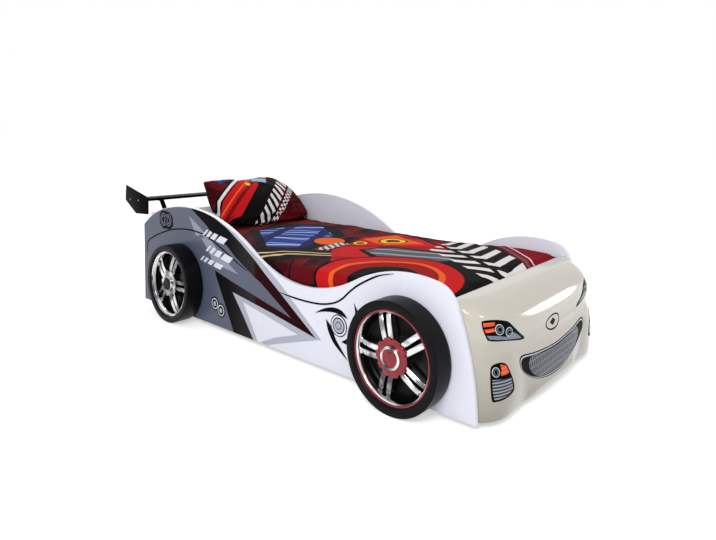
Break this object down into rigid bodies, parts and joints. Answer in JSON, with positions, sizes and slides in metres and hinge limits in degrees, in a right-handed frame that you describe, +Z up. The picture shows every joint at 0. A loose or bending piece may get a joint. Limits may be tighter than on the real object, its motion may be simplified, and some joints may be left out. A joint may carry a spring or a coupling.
{
  "type": "car bed for children",
  "caption": "Single bed for a child shaped like a racing car, with wheel trims, a moulded front bumper, a rear wing, a slatted base, a mattress, a duvet and a pillow.",
  "frame": {"origin": "on the floor under the middle of the bed's overall box", "axes": "+Z up, +X towards the car's nose (the foot of the bed), +Y towards the car's left side"},
  "size_m": [2.4774, 1.175, 0.7002],
  "materials": {
    "panel_lacquer": "smooth printed lacquer on 18 mm fibreboard, satin",
    "plain_board": "white melamine-faced board",
    "slat_pine": "planed pine",
    "bumper_plastic": "high gloss pearl beige vacuum-formed plastic",
    "tyre_plastic": "black moulded plastic, soft gloss",
    "disc_plastic": "black moulded plastic",
    "rim_chrome": "metallised plastic, mirror finish",
    "cap_red": "translucent red moulded plastic",
    "cap_chrome": "metallised plastic",
    "wing_black": "black lacquer",
    "zinc_steel": "zinc plated",
    "glide_plastic": "grey moulded plastic",
    "strap_webbing": "woven tape",
    "mattress_ticking": "quilted knit",
    "duvet_cotton": "printed cotton",
    "pillow_cotton": "printed cotton"
  },
  "bodies": {
    "root": {"side_panel_right": "panel_lacquer", "side_rail_right": "slat_pine", "slat_strap_right": "strap_webbing", "wing_endplate_right": "wing_black", "wing_strut_right": "wing_black", "side_panel_left": "panel_lacquer", "side_rail_left": "slat_pine", "slat_strap_left": "strap_webbing", "wing_endplate_left": "wing_black", "wing_strut_left": "wing_black", "headboard": "plain_board", "footboard": "plain_board", "centre_leg_rear": "slat_pine", "corner_block_rear_right": "slat_pine", "tyre_rear_right": "tyre_plastic", "wheel_disc_rear_right": "disc_plastic", "rim_rear_right": "rim_chrome", "hub_cap_rear_right": "cap_chrome", "corner_block_rear_left": "slat_pine", "tyre_rear_left": "tyre_plastic", "wheel_disc_rear_left": "disc_plastic", "rim_rear_left": "rim_chrome", "hub_cap_rear_left": "cap_chrome", "centre_leg_front": "slat_pine", "corner_block_front_right": "slat_pine", "tyre_front_right": "tyre_plastic", "wheel_disc_front_right": "disc_plastic", "rim_front_right": "rim_chrome", "hub_cap_front_right": "cap_red", "corner_block_front_left": "slat_pine", "tyre_front_left": "tyre_plastic", "wheel_disc_front_left": "disc_plastic", "rim_front_left": "rim_chrome", "hub_cap_front_left": "cap_red", "centre_beam": "slat_pine", "beam_brackets": "zinc_steel", "leg_glides": "glide_plastic", "slat_01": "slat_pine", "slat_02": "slat_pine", "slat_03": "slat_pine", "slat_04": "slat_pine", "slat_05": "slat_pine", "slat_06": "slat_pine", "slat_07": "slat_pine", "slat_08": "slat_pine", "slat_09": "slat_pine", "slat_10": "slat_pine", "slat_11": "slat_pine", "slat_12": "slat_pine", "front_bumper": "bumper_plastic", "wing_blade": "wing_black", "corner_bolts": "zinc_steel", "rail_screws": "zinc_steel", "wheel_screws": "zinc_steel", "bumper_screws": "zinc_steel", "wing_screws": "zinc_steel"},
    "mattress": {"mattress": "mattress_ticking"},
    "duvet": {"duvet": "duvet_cotton"},
    "pillow": {"pillow": "pillow_cotton"}
  },
  "joints": [
    {"name": "mattress_lift", "type": "slide", "parent": "root", "child": "mattress", "axis": [0, 0, 1], "range_m": [0, 0.4]},
    {"name": "duvet_lift", "type": "slide", "parent": "mattress", "child": "duvet", "axis": [0, 0, 1], "range_m": [0, 0.3]},
    {"name": "pillow_lift", "type": "slide", "parent": "duvet", "child": "pillow", "axis": [0, 0, 1], "range_m": [0, 0.3]}
  ]
}
